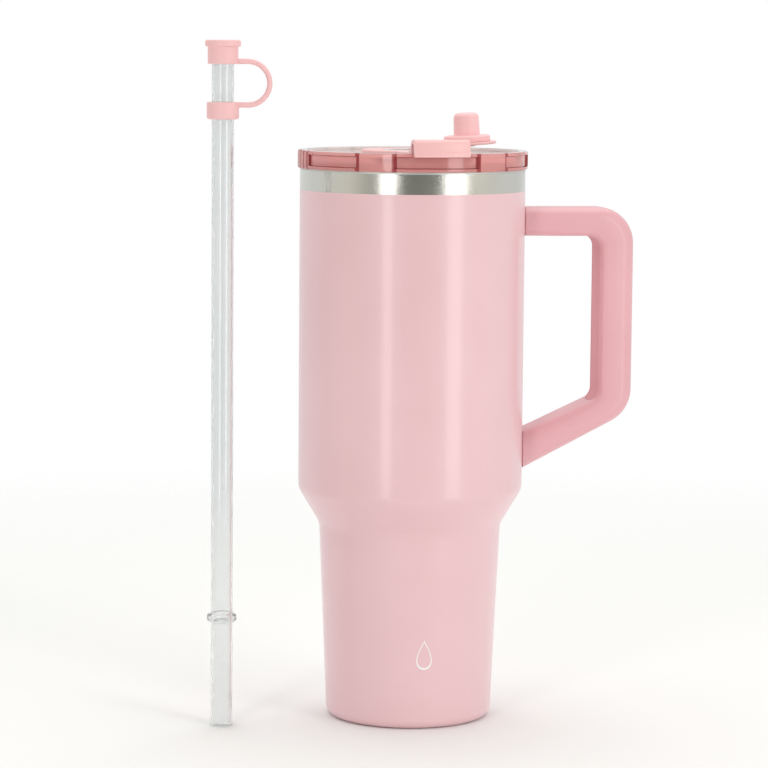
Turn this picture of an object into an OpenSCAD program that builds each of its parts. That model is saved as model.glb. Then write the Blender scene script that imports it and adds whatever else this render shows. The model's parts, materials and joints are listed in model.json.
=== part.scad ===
// Insulated tumbler with a rotating lid closure, a side handle and a drinking straw with a tethered cap.
// Millimetres, +Z up. The origin is the centre of the base, on the surface that the tumbler stands on.

/* [Body] */
// Outer radius of the upper wall
body_r = 49; // [44:0.5:60]
// Height from the foot to the steel rim
body_h = 240.5; // [195:0.5:300]
// Outer radius where the shoulder meets the lower part
waist_r = 39.7; // [34:0.1:42]
// Outer radius of the lower part, taken down to the foot
base_r = 36.1; // [30:0.1:39]
// Height of the bottom of the shoulder
shoulder_z = 85.3; // [70:0.1:105]
// Height of the shoulder
shoulder_h = 15.6; // [12:0.1:22]
// Rounding of the foot's outer corner
foot_fillet = 4.2; // [2:0.1:7]
// Rounding of the waist
waist_fillet = 10; // [3:0.5:14]
// Rounding of the shoulder's upper corner
shoulder_fillet = 6.5; // [3:0.5:12]
// Thickness of each steel wall
wall_t = 0.6; // [0.5:0.1:1]
// Vacuum space between the walls
vacuum_gap = 2.8; // [2:0.1:4]
// Thickness of the rolled steel rim
rim_t = 0.8; // [0.6:0.1:1.2]
// Inner radius of the turned-in foot flange
foot_hole_r = 26; // [18:0.5:28]
// Width of the base plate's seat on the foot flange
base_seat_w = 3.5; // [2:0.5:4]
// Height of the base plate's raised centre over its seat
base_dome_h = 1.4; // [0.6:0.1:2]
// Height of the drinking space's floor
floor_z = 7; // [6.5:0.1:10]
// Radius of the evacuation hole
port_r = 1; // [0.6:0.1:1.5]
// Radius of the seal bead
bead_r = 3.5; // [2.5:0.1:5]
// Radius of the getter pellet
getter_r = 6; // [4:0.5:8]
// Thickness of the getter pellet
getter_t = 1.4; // [1:0.1:2]

/* [Handle] */
// Turn of the handle from +X
handle_a = 10; // [0:1:30]
// Distance from the body's axis to the handle's outer face
handle_reach = 98; // [88:0.5:115]
// Thickness of the upright
grip_t = 15.5; // [12:0.5:18]
// Width of the handle
handle_w = 21; // [16:0.5:26]
// Distance from the rim down to the top of the handle
handle_drop = 16.7; // [12:0.1:25]
// Thickness of the upper arm
upper_arm_t = 12.5; // [11:0.5:15]
// Gap between the shoulder's upper corner and the lower arm's foot
lower_arm_gap = 8.2; // [4:0.1:14]
// Height of the lower arm where it meets the body
lower_arm_h = 16.2; // [13:0.1:20]
// Rise of the lower arm's outer edge
lower_arm_rise = 24.8; // [18:0.1:30]
// Rounding of the outer corners
handle_outer_fillet = 16; // [8:0.5:20]
// Rounding of the inner corners
handle_inner_fillet = 5.5; // [4:0.5:10]
// Thickness of the soft insert
insert_t = 2.8; // [2:0.1:4]
// Width of the soft insert
insert_w = 15; // [10:0.5:16]
// Length of the upper arm that the insert leaves bare
insert_start = 14.5; // [12:0.5:20]
// Reach of the steel brackets into the handle
bracket_len = 11; // [9:0.5:12]
// Width of the steel brackets
bracket_w = 11; // [8:0.5:12]
// Thickness of the steel brackets
bracket_t = 5; // [4:0.5:6]
// Shank radius of the handle screws
screw_r = 2; // [1.5:0.1:2.5]
// Head radius of the handle screws
screw_head_r = 3.2; // [2.8:0.1:3.6]
// Head height of the handle screws
screw_head_t = 2.2; // [1.8:0.1:2.4]

/* [Lid] */
// Turn of the lid
lid_a = 12; // [-180:1:180]
// Overhang of the skirt past the body
skirt_over = 0.9; // [0.3:0.1:1.5]
// Height of the skirt
skirt_h = 7.9; // [6.5:0.1:10]
// Thickness of the skirt wall
skirt_t = 3.5; // [2.5:0.1:4]
// Depth of the windows between the skirt's posts
window_depth = 1.1; // [0.5:0.1:1.5]
// Angle from the front of the lid to each plain post beside it, the same at the back
post_at = 31; // [26:0.5:36]
// Angle that each plain post spans
post_a = 19; // [12:1:24]
// Angle that each ribbed grip spans
grip_a = 29; // [20:1:34]
// Height of the frame above and below each window
frame_h = 1.4; // [1:0.1:2]
// Number of grooves on each ribbed grip
groove_count = 6; // [4:1:8]
// Radius of each grip groove
groove_r = 0.95; // [0.4:0.05:1.1]
// Depth of the deck below the skirt's top
deck_drop = 2; // [1.5:0.1:3]
// Thickness of the deck
deck_t = 2; // [1.5:0.1:2.5]
// Depth of the plug wall below the rim
plug_depth = 13.5; // [11:0.5:18]
// Thickness of the plug wall
plug_wall_t = 2; // [1.8:0.1:2.5]
// Gap between the plug wall and the liner
plug_gap = 0.8; // [0.5:0.1:1.2]
// Height of the gasket
gasket_h = 5; // [4:0.5:7]
// Depth of the gasket's groove
gasket_depth = 1; // [0.8:0.1:1.2]
// Radial reach of the sip opening
sip_len = 7; // [5:0.5:8]
// Angle that the sip opening spans
sip_a = 26; // [20:1:28]

/* [Closure] */
// Turn of the closure
cover_a = 14; // [-20:1:40]
// Outer radius of the closure's hub
hub_r = 22.5; // [21.5:0.5:26]
// Thickness of the closure's hub
hub_t = 2.05; // [1.6:0.05:2.6]
// Width of the closure's rim tab
tab_w = 24.3; // [18:0.1:28]
// Height of the tab above the skirt
tab_rise = 5.9; // [4.5:0.1:8]
// How far the tab's lip reaches down over the skirt
tab_lip = 1.5; // [0.5:0.1:2]
// Wall thickness of the tab
tab_t = 1.5; // [1.2:0.1:2]
// Travel of the closure
cover_travel = 90; // [45:5:110]
// Inner radius of the straw boss
boss_r = 10.6; // [10:0.1:12]
// Wall thickness of the straw boss
boss_t = 2.3; // [1.8:0.1:3]

/* [Straw stopper] */
// Distance from the hinge pin to the stopper's centre
plug_arm_len = 12.2; // [12:0.1:13]
// Height of the hinge pin above the hub
hinge_h = 2.3; // [2.2:0.1:3]
// Radius of the hinge pin
pin_r = 0.7; // [0.6:0.05:0.9]
// Radius of the arm's hinge knuckle
knuckle_r = 1.5; // [1.4:0.1:1.8]
// Width of the arm's hinge knuckle
knuckle_w = 20.4; // [16:0.2:22]
// Width of each hinge ear
ear_w = 2.6; // [2:0.1:4]
// Radius of the arm's pad
pad_r = 12.7; // [11:0.1:13]
// Thickness of the arm's pad
pad_t = 1.2; // [1:0.1:1.4]
// Radius of the stopper's flange
flange_r = 10.1; // [8:0.1:10.2]
// Thickness of the stopper's flange
flange_t = 2.8; // [2:0.1:3]
// Radius of the stopper's cone at its base
cone_r = 5.74; // [5:0.01:6]
// Radius of the stopper's cone at its tip
cone_tip_r = 5.4; // [4.5:0.1:5.6]
// Height of the stopper's cone
cone_h = 9.8; // [8:0.1:10.4]
// Rounding of the cone's tip
cone_fillet = 2; // [1:0.5:3]
// Tilt of the open arm
arm_tilt = 3; // [0:0.5:8]

/* [Straw] */
// Outer radius of the straw
straw_r = 4.7; // [4:0.1:5]
// Wall of the straw
straw_wall = 1; // [0.7:0.1:1.3]
// Length of the straw
straw_len = 292; // [240:1:340]
// Height of the stop bead's middle
stop_z = 47.2; // [30:0.1:70]
// Radius of the stop bead
stop_r = 6.4; // [5.6:0.1:7]
// Height of the stop bead
stop_h = 4.1; // [3:0.1:5]
// Gap between the body and the straw that stands beside it
straw_side = 32; // [25:1:50]
// How far in front of the body's axis the straw stands
straw_front = 28; // [0:1:50]
// Outer radius of the straw's cap
cap_r = 6.5; // [6:0.1:7.5]
// Radius of the cap's top flange
cap_flange_r = 7.6; // [7.6:0.1:9]
// Height of the cap
cap_h = 10.2; // [8:0.1:14]
// Thickness of the cap's top flange
cap_flange_t = 2.8; // [1.5:0.1:3]
// Radius of the ring that keeps the cap
ring_r = 6.9; // [6.2:0.1:8]
// Height of the ring
ring_h = 7.3; // [5:0.1:9]
// Distance from the straw's top down to the ring's middle
ring_drop = 26.7; // [22:0.1:35]
// Radius of the tether
tether_r = 1.15; // [0.8:0.05:1.5]
// Reach of the tether's loop from the straw's axis
tether_reach = 21; // [19:0.5:25]

/* [Hidden] */
$fn = 96;

pink_paint = "#eec5cb";
handle_pink = "#e9b0b8";
insert_pink = "#df9ea8";
closure_pink = "#f3bcbc";
lid_rose = [0.80, 0.42, 0.42, 0.6];
steel = "#c3c2ba";
clear = [0.9, 0.93, 0.93, 0.4];

eps = 0.02;              // overlap that joins two shapes of one solid
running = 0.05;          // radial clearance of a shaft, ring or gasket in its seat
sliding = 0.15;          // face clearance between parts that turn on each other
clear_gap = 0.3;         // clearance of a part that passes another

shoulder_top = shoulder_z + shoulder_h;
mouth_inset = 2 * wall_t + vacuum_gap;
mouth_r = body_r - mouth_inset;

skirt_r = body_r + skirt_over;
skirt_in_r = skirt_r - skirt_t;
lid_top = body_h + skirt_h;
deck_z = lid_top - deck_drop;
plug_r = mouth_r - plug_gap;
plug_in_r = plug_r - plug_wall_t;
plug_z = body_h - plug_depth;
gasket_rise = 3;
gasket_z = plug_z + gasket_rise;
groove_wall_r = plug_r - gasket_depth;
boss_out_r = boss_r + boss_t;
window_start = post_at + post_a / 2;
window_end = 90 - grip_a / 2;

hub_z = deck_z + sliding;
hub_top = hub_z + hub_t;
hub_in_r = boss_out_r + 0.2;
retainer_t = 0.65;
retainer_r = boss_out_r + 1.9;
retainer_top = hub_top - 0.2;
shelf_r = retainer_r + 0.25;
shelf_z = retainer_top - retainer_t - sliding;
wall_out_r = skirt_in_r - clear_gap;
tab_in_r = skirt_r + clear_gap;
tab_r = tab_in_r + tab_t;
tab_top = lid_top + tab_rise;
stop_pin_r = 1.1;
stop_pin_h = 0.9;
stop_at_r = (shelf_r + hub_r) / 2;
seal_t = 1;
seal_margin = 0.8;       // how far the sip seal reaches past its opening in radius
seal_margin_a = 2.5;     // and in angle
seal_z = deck_z + running;
sip_out_r = plug_in_r - 0.7;
sip_in_r = sip_out_r - sip_len;

hinge_z = hub_top + hinge_h;
ear_r = knuckle_r - 0.1;
pad_z = hinge_z - 0.8;
flange_z = pad_z + pad_t;
cone_z = flange_z + flange_t;
seal_top = 2 * hinge_z - cone_z - 0.1;
cone_top = cone_z + cone_h;
stem_r = 2.5;
button_r = 3.6;
button_t = 0.8;
swing_r = norm([plug_arm_len + cone_tip_r - cone_fillet, cone_top - cone_fillet - hinge_z]) + cone_fillet;
funnel_r = swing_r + clear_gap;
cup_z = 2 * hinge_z - cone_top - clear_gap;
straw_hole_r = straw_r + 0.25;
straw_hole_len = 3;
boss_z = cup_z - straw_hole_len;
snap_t = 1.2;            // the seal's edge that snaps under the boss
snap_z = boss_z - snap_t;

handle_top = body_h - handle_drop;
upper_mid = handle_top - upper_arm_t / 2;
upper_low = handle_top - upper_arm_t;
grip_in = handle_reach - grip_t;
foot_z = shoulder_top + lower_arm_gap;
outer_slope = lower_arm_rise / (handle_reach - body_r);
inner_slope_share = 0.867; // the lower arm's inner edge rises a little less than its outer edge
inner_slope = outer_slope * inner_slope_share;
outer_corner_z = foot_z + lower_arm_rise;
inner_corner_z = foot_z + lower_arm_h + inner_slope * (grip_in - body_r);
lower_mid = foot_z + lower_arm_h / 2;
lower_a = atan((outer_slope + inner_slope) / 2);
lower_arm_t = lower_arm_h * cos(lower_a);
inside = 6;              // how far the handle's outline runs into the body before it is cut back
screw_at = bracket_len * 0.6;
screw_sink = 0.4;        // depth of a screw's head below the arm's underside
socket_r = 1.4;

straw_x = -(body_r + straw_side);
straw_y = -straw_front;
cap_roof = 3.2;          // solid thickness over the straw's end
cap_z = straw_len + cap_roof - cap_h;
cap_top = cap_z + cap_h;
ring_z = straw_len - ring_drop - ring_h / 2;
tether_low = ring_z + ring_h - tether_r;
tether_high = cap_z + tether_r;

function unit(v) = v / norm(v);
function wrap(a) = (a + 540) % 360 - 180;
// Points of a round corner of radius r at b, between the lines to a and c
function corner(a, b, c, r, n = 8) =
    let (u = unit(a - b), v = unit(c - b), half = acos(u * v) / 2)
    let (p = b + u * r / tan(half), q = b + v * r / tan(half), m = b + unit(u + v) * r / sin(half))
    let (s = atan2(p[1] - m[1], p[0] - m[0]), turn = wrap(atan2(q[1] - m[1], q[0] - m[0]) - s))
    [for (i = [0:n]) m + r * [cos(s + turn * i / n), sin(s + turn * i / n)]];
function reverse(list) = [for (i = [len(list) - 1:-1:0]) list[i]];

// One wall line of the body, from the axis out and up: inset from the outside, floor height, top height
function wall_line(inset, z0, z1, start) =
    let (foot = [base_r - inset, z0], waist = [waist_r - inset, shoulder_z])
    let (shoulder = [body_r - inset, shoulder_top], rim = [body_r - inset, z1])
    concat([[start, z0]],
        corner([start, z0], foot, waist, max(foot_fillet - inset, 2)),
        corner(foot, waist, shoulder, waist_fillet + inset),
        corner(waist, shoulder, rim, max(shoulder_fillet - inset, 1)),
        [rim]);

module ring(r0, r1, z0, z1) {
    rotate_extrude()
        translate([r0, z0])
            square([r1 - r0, z1 - z0]);
}

module sector(r0, r1, z0, z1, mid, span) {
    rotate([0, 0, mid - span / 2])
        rotate_extrude(angle = span)
            translate([r0, z0])
                square([r1 - r0, z1 - z0]);
}

// ---- Body ----

module outer_shell() {
    color(pink_paint)
        rotate_extrude()
            polygon(concat(
                wall_line(0, 0, body_h - rim_t, foot_hole_r),
                reverse(wall_line(wall_t, wall_t, body_h - rim_t, foot_hole_r))));
}

module inner_liner() {
    outer = wall_line(mouth_inset - wall_t, floor_z - wall_t, body_h - rim_t, 0);
    inner = wall_line(mouth_inset, floor_z, body_h, 0);
    edge = rim_t * 0.45;     // rounding of the rolled rim
    color(steel)
        rotate_extrude()
            polygon(concat(
                outer,
                corner([mouth_r, body_h - rim_t], [body_r, body_h - rim_t], [body_r, body_h], edge / 2, 3),
                corner([body_r, body_h - rim_t], [body_r, body_h], [mouth_r, body_h], edge, 4),
                reverse(inner)));
}

module base_plate() {
    seat_r = foot_hole_r + base_seat_w;
    dome_r = foot_hole_r - 2;
    z = wall_t;
    color(steel)
        difference() {
            rotate_extrude()
                polygon([[0, z + base_dome_h], [dome_r, z + base_dome_h], [foot_hole_r, z], [seat_r, z],
                    [seat_r, z + wall_t], [foot_hole_r, z + wall_t], [dome_r, z + base_dome_h + wall_t],
                    [0, z + base_dome_h + wall_t]]);
            cylinder(r = port_r, h = floor_z);
        }
}

module vacuum_seal_bead() {
    z = wall_t + base_dome_h;
    color("#8d8d88") {
        rotate_extrude()
            polygon([[0, z - 1], [bead_r - 1, z - 1], [bead_r, z], [port_r, z], [port_r, z + wall_t],
                [0, z + wall_t]]);
    }
}

module vacuum_getter() {
    color("#6f7074")
        translate([foot_hole_r / 2, 0, 2 * wall_t + base_dome_h])
            cylinder(r = getter_r, h = getter_t);
}

// ---- Handle ----

module at_upper() {
    rotate([0, 0, handle_a])
        translate([body_r, 0, upper_mid])
            children();
}

module at_lower() {
    rotate([0, 0, handle_a])
        translate([body_r, 0, lower_mid])
            rotate([0, -lower_a, 0])
                children();
}

module body_core() {
    cylinder(r = body_r, h = body_h, $fn = 192);
}

module bracket_block() {
    translate([-inside, -bracket_w / 2, -bracket_t / 2])
        cube([inside + bracket_len, bracket_w, bracket_t]);
}

// Screw up through an arm of thickness t into its bracket
module screw_solid(t) {
    head_z = -t / 2 + screw_sink;
    translate([screw_at, 0, 0]) {
        difference() {
            translate([0, 0, head_z])
                cylinder(r = screw_head_r, h = screw_head_t);
            translate([0, 0, head_z - eps])
                cylinder(r = socket_r, h = screw_head_t * 0.64, $fn = 6);
        }
        translate([0, 0, head_z + screw_head_t - eps])
            cylinder(r = screw_r, h = bracket_t / 2 - head_z - screw_head_t);
    }
}

module screw_space(t) {
    open_below = 4;
    translate([screw_at, 0, -t / 2 - open_below])
        cylinder(r = screw_head_r + 0.2, h = open_below + screw_sink + screw_head_t);
    translate([screw_at, 0, -t / 2])
        cylinder(r = screw_r + running, h = t / 2);
}

module handle_side() {
    in_r = body_r - inside;
    fall = inside * outer_slope;
    a = [in_r, handle_top];
    b = [handle_reach, handle_top];
    c = [handle_reach, outer_corner_z];
    d = [in_r, foot_z - fall];
    e = [in_r, foot_z + lower_arm_h - inside * inner_slope];
    f = [grip_in, inner_corner_z];
    g = [grip_in, upper_low];
    h = [in_r, upper_low];
    polygon(concat([a], corner(a, b, c, handle_outer_fillet, 12), corner(b, c, d, handle_outer_fillet, 8),
        [d, e], corner(e, f, g, handle_inner_fillet, 8), corner(f, g, h, handle_inner_fillet, 8), [h]));
}

// The insert runs round both inner corners of the grip; its back is parallel to its face
module insert_side() {
    slant = norm([1, inner_slope]);
    start = [body_r + insert_start, upper_low];
    turn = [grip_in, upper_low];
    low_turn = [grip_in, inner_corner_z];
    stop = low_turn - handle_inner_fillet * [1, inner_slope] / slant;
    start_back = start + [insert_t, insert_t];
    turn_back = turn + [insert_t, insert_t];
    low_back = low_turn + insert_t * [1, inner_slope - slant];
    stop_back = stop + insert_t * [inner_slope, -1] / slant;
    back_fillet = handle_inner_fillet + insert_t;
    polygon(concat([start], corner(start, turn, low_turn, handle_inner_fillet, 8),
        corner(turn, low_turn, stop, handle_inner_fillet, 8), [stop, stop_back],
        corner(stop_back, low_back, turn_back, back_fillet, 8),
        corner(low_back, turn_back, start_back, back_fillet, 8), [start_back]));
}

module insert_bar() {
    rotate([0, 0, handle_a])
        translate([0, insert_w / 2, 0])
            rotate([90, 0, 0])
                linear_extrude(insert_w)
                    insert_side();
}

// The bar has square sides and an upright with a round back
module handle_bar() {
    back_r = 7;              // rounding of the upright's outer edges
    rotate([0, 0, handle_a])
        intersection() {
            translate([0, handle_w / 2, 0])
                rotate([90, 0, 0])
                    linear_extrude(handle_w)
                        children();
            union() {
                translate([0, -handle_w / 2, 0])
                    cube([handle_reach - back_r, handle_w, body_h]);
                for (side = [-1, 1])
                    translate([handle_reach - back_r, side * (handle_w / 2 - back_r), 0])
                        cylinder(r = back_r, h = body_h);
                translate([handle_reach - back_r - eps, -handle_w / 2 + back_r, 0])
                    cube([back_r + eps, handle_w - 2 * back_r, body_h]);
            }
        }
}

module handle_frame() {
    color(handle_pink)
        difference() {
            handle_bar()
                handle_side();
            insert_bar();
            body_core();
            at_upper() {
                bracket_block();
                screw_space(upper_arm_t);
            }
            at_lower() {
                bracket_block();
                screw_space(lower_arm_t);
            }
        }
}

module handle_grip() {
    color(insert_pink)
        insert_bar();
}

module upper_handle_bracket() {
    color(steel)
        difference() {
            at_upper() bracket_block();
            body_core();
            at_upper() screw_space(upper_arm_t);
            at_upper() translate([screw_at, 0, -bracket_t]) cylinder(r = screw_r, h = 2 * bracket_t);
        }
}

module lower_handle_bracket() {
    color(steel)
        difference() {
            at_lower() bracket_block();
            body_core();
            at_lower() translate([screw_at, 0, -bracket_t]) cylinder(r = screw_r, h = 2 * bracket_t);
        }
}

module upper_handle_screw() {
    color(steel)
        at_upper() screw_solid(upper_arm_t);
}

module lower_handle_screw() {
    color(steel)
        at_lower() screw_solid(lower_arm_t);
}

// ---- Lid ----

module window(mid, span) {
    sector(skirt_r - window_depth, skirt_r + 1, body_h + frame_h, lid_top - frame_h, mid, span);
}

module lid_shell() {
    color(lid_rose)
        rotate([0, 0, lid_a])
            difference() {
                union() {
                    ring(skirt_in_r, skirt_r, body_h, lid_top);
                    ring(boss_r, skirt_in_r + eps, deck_z - deck_t, deck_z);
                    ring(plug_in_r, plug_r, plug_z, deck_z - eps);
                    ring(boss_r, boss_out_r, boss_z, hub_top);
                    rotate([0, 0, cover_a - lid_a])
                        translate([stop_at_r, 0, deck_z - eps])
                            cylinder(r = stop_pin_r, h = stop_pin_h + eps, $fn = 32);
                }
                for (side = [-90, 90]) {
                    window(side, 2 * post_at - post_a);
                    for (turn = [-1, 1])
                        window(side + turn * (window_start + window_end) / 2, window_end - window_start);
                }
                for (side = [0, 180], i = [0:groove_count - 1])
                    rotate([0, 0, side + (i - (groove_count - 1) / 2) * grip_a / groove_count])
                        translate([skirt_r, 0, body_h - 1])
                            cylinder(r = groove_r, h = skirt_h + 2, $fn = 16);
                ring(groove_wall_r, plug_r + 1, gasket_z, gasket_z + gasket_h);
                sector(sip_in_r, sip_out_r, deck_z - deck_t - 1, deck_z + 1,
                    -90 + cover_a - lid_a, sip_a);
            }
}

module lid_gasket() {
    lip_r = mouth_r - running;
    z = gasket_z + running;
    h = gasket_h - 2 * running;
    color("#f2dede")
        rotate_extrude()
            polygon([[groove_wall_r + running, z], [plug_r, z], [lip_r, z + h * 0.15], [plug_r, z + h * 0.35],
                [plug_r, z + h * 0.6], [lip_r, z + h * 0.8], [plug_r, z + h], [groove_wall_r + running, z + h]]);
}

module straw_seal() {
    steps = 10;
    fall = seal_top - cup_z;
    color("#f6e6e4")
        rotate_extrude()
            polygon(concat(
                [for (i = [0:steps]) let (z = cup_z + fall * i / steps)
                    [max(straw_hole_r, sqrt(funnel_r * funnel_r - (hinge_z - z) * (hinge_z - z)) - plug_arm_len), z]],
                [[boss_r, seal_top], [boss_r, boss_z], [boss_r + snap_t, boss_z], [boss_r + snap_t, snap_z],
                    [straw_hole_r + 1, snap_z], [straw_hole_r + 1, boss_z], [straw_hole_r, boss_z]]));
}

module cover_retainer() {
    color(lid_rose)
        ring(boss_out_r, retainer_r, retainer_top - retainer_t, retainer_top);
}

// ---- Closure ----

module in_cover() {
    rotate([0, 0, cover_a])
        children();
}

module tab_band(r0, r1, z0, z1) {
    intersection() {
        ring(r0, r1, z0, z1);
        translate([-tab_w / 2, -tab_r - 1, z0 - 1])
            cube([tab_w, tab_r, z1 - z0 + 2]);
    }
}

module seal_space(z0) {
    sector(sip_in_r - seal_margin, sip_out_r + seal_margin, z0, seal_z + seal_t, -90, sip_a + 2 * seal_margin_a);
}

module sip_cover() {
    ear_y = knuckle_w / 2 + 0.2;
    groove_w = 2 * (stop_pin_r + clear_gap);
    stop_a = asin((stop_pin_r + clear_gap) / stop_at_r);
    color(closure_pink)
        in_cover()
            difference() {
                union() {
                    ring(hub_in_r, hub_r, hub_z, hub_top);
                    tab_band(shelf_r, wall_out_r, hub_z, hub_top);
                    tab_band(wall_out_r - tab_t, wall_out_r, hub_z, tab_top);
                    tab_band(wall_out_r - tab_t, tab_r, tab_top - tab_t, tab_top);
                    tab_band(tab_in_r, tab_r, lid_top - tab_lip, tab_top);
                    for (side = [-1, 1])
                        translate([plug_arm_len, side * (ear_y + ear_w / 2), 0]) {
                            translate([-ear_r, -ear_w / 2, hub_top - eps])
                                cube([2 * ear_r, ear_w, hinge_h + eps]);
                            translate([0, ear_w / 2, hinge_z])
                                rotate([90, 0, 0])
                                    cylinder(r = ear_r, h = ear_w, $fn = 48);
                        }
                }
                ring(hub_in_r - 1, shelf_r, shelf_z, hub_top);
                translate([plug_arm_len, 30, hinge_z])
                    rotate([90, 0, 0])
                        cylinder(r = pin_r, h = 60, $fn = 32);
                rotate([0, 0, -stop_a])
                    rotate_extrude(angle = cover_travel + 2 * stop_a)
                        translate([stop_at_r - groove_w / 2, hub_z - 1])
                            square([groove_w, 1 + stop_pin_h - sliding + clear_gap]);
                seal_space(deck_z);
            }
}

module sip_seal() {
    color("#f6e6e4")
        in_cover()
            seal_space(seal_z);
}

module plug_hinge_pin() {
    len = knuckle_w + 2 * ear_w + 0.4;
    color(steel)
        in_cover()
            translate([plug_arm_len, len / 2, hinge_z])
                rotate([90, 0, 0])
                    cylinder(r = pin_r, h = len, $fn = 32);
}

// The arm and its stopper are drawn flat and then tilted about the pin
module in_arm() {
    in_cover()
        translate([plug_arm_len, 0, hinge_z])
            rotate([0, -arm_tilt, 0])
                translate([-plug_arm_len, 0, -hinge_z])
                    children();
}

module plug_arm() {
    reach = 2 * plug_arm_len;
    color(closure_pink)
        in_arm()
            difference() {
                union() {
                    translate([reach, 0, pad_z])
                        cylinder(r = pad_r, h = pad_t);
                    translate([plug_arm_len, knuckle_w / 2, hinge_z])
                        rotate([90, 0, 0])
                            cylinder(r = knuckle_r, h = knuckle_w, $fn = 48);
                    translate([plug_arm_len, -knuckle_w / 2 + 1, pad_z])
                        cube([6, knuckle_w - 2, pad_t]);
                }
                translate([plug_arm_len, knuckle_w, hinge_z])
                    rotate([90, 0, 0])
                        cylinder(r = pin_r + running, h = 2 * knuckle_w, $fn = 32);
                translate([reach, 0, pad_z - 1])
                    cylinder(r = stem_r, h = pad_t + 2);
            }
}

module straw_plug() {
    color(closure_pink)
        in_arm()
            translate([2 * plug_arm_len, 0, 0])
                rotate_extrude()
                    polygon(concat(
                        [[0, pad_z - button_t], [button_r, pad_z - button_t], [button_r, pad_z], [stem_r, pad_z],
                            [stem_r, flange_z], [flange_r - 0.4, flange_z], [flange_r, flange_z + 0.4]],
                        corner([flange_r, flange_z], [flange_r, cone_z], [cone_r, cone_z], 0.8, 4),
                        [[cone_r, cone_z]],
                        corner([cone_r, cone_z], [cone_tip_r, cone_top], [0, cone_top], cone_fillet, 6),
                        [[0, cone_top]]));
}

// ---- Straw ----

module at_straw() {
    translate([straw_x, straw_y, 0])
        children();
}

module straw() {
    in_r = straw_r - straw_wall;
    z0 = stop_z - stop_h / 2;
    z1 = stop_z + stop_h / 2;
    color(clear)
        at_straw()
            rotate_extrude()
                polygon(concat([[in_r, 0], [straw_r, 0], [straw_r, z0]],
                    corner([straw_r, z0], [stop_r, z0 + 0.8], [stop_r, z1 - 0.8], 0.6, 4),
                    corner([stop_r, z0 + 0.8], [stop_r, z1 - 0.8], [straw_r, z1], 0.6, 4),
                    [[straw_r, z1], [straw_r, straw_len], [in_r, straw_len]]));
}

module straw_cap() {
    bore_r = straw_r + running;
    skirt_z = cap_top - cap_flange_t;
    color(closure_pink)
        at_straw()
            rotate_extrude()
                polygon(concat([[0, straw_len], [bore_r, straw_len], [bore_r, cap_z], [cap_r, cap_z],
                    [cap_r, skirt_z]],
                    corner([cap_r, skirt_z], [cap_flange_r, skirt_z], [cap_flange_r, cap_top], 0.4, 3),
                    corner([cap_flange_r, skirt_z], [cap_flange_r, cap_top], [0, cap_top], 0.8, 5),
                    [[0, cap_top]]));
}

module straw_cap_ring() {
    top = ring_z + ring_h;
    color(closure_pink)
        at_straw()
            rotate_extrude()
                polygon(concat([[straw_r, ring_z]],
                    corner([straw_r, ring_z], [ring_r, ring_z], [ring_r, top], 1.5, 5),
                    corner([ring_r, ring_z], [ring_r, top], [straw_r, top], 0.4, 3),
                    [[straw_r, top]]));
}

module straw_cap_tether() {
    loop_r = (tether_high - tether_low) / 2;
    mid_z = (tether_high + tether_low) / 2;
    loop_x = tether_reach - tether_r - loop_r;
    color(closure_pink)
        at_straw() {
            translate([loop_x, 0, mid_z])
                rotate([90, 0, 0])
                    rotate([0, 0, -90])
                        rotate_extrude(angle = 180)
                            translate([loop_r, 0])
                                circle(r = tether_r, $fn = 24);
            translate([cap_r, 0, tether_high])
                rotate([0, 90, 0])
                    cylinder(r = tether_r, h = loop_x - cap_r + eps, $fn = 24);
            translate([ring_r, 0, tether_low])
                rotate([0, 90, 0])
                    cylinder(r = tether_r, h = loop_x - ring_r + eps, $fn = 24);
        }
}

outer_shell();
inner_liner();
base_plate();
vacuum_getter();
vacuum_seal_bead();
upper_handle_bracket();
lower_handle_bracket();
handle_frame();
handle_grip();
upper_handle_screw();
lower_handle_screw();
lid_shell();
lid_gasket();
straw_seal();
cover_retainer();
sip_cover();
sip_seal();
plug_hinge_pin();
plug_arm();
straw_plug();
straw();
straw_cap();
straw_cap_ring();
straw_cap_tether();
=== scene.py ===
import json
import math

import bmesh
import bpy
from mathutils import Matrix, Vector


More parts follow.
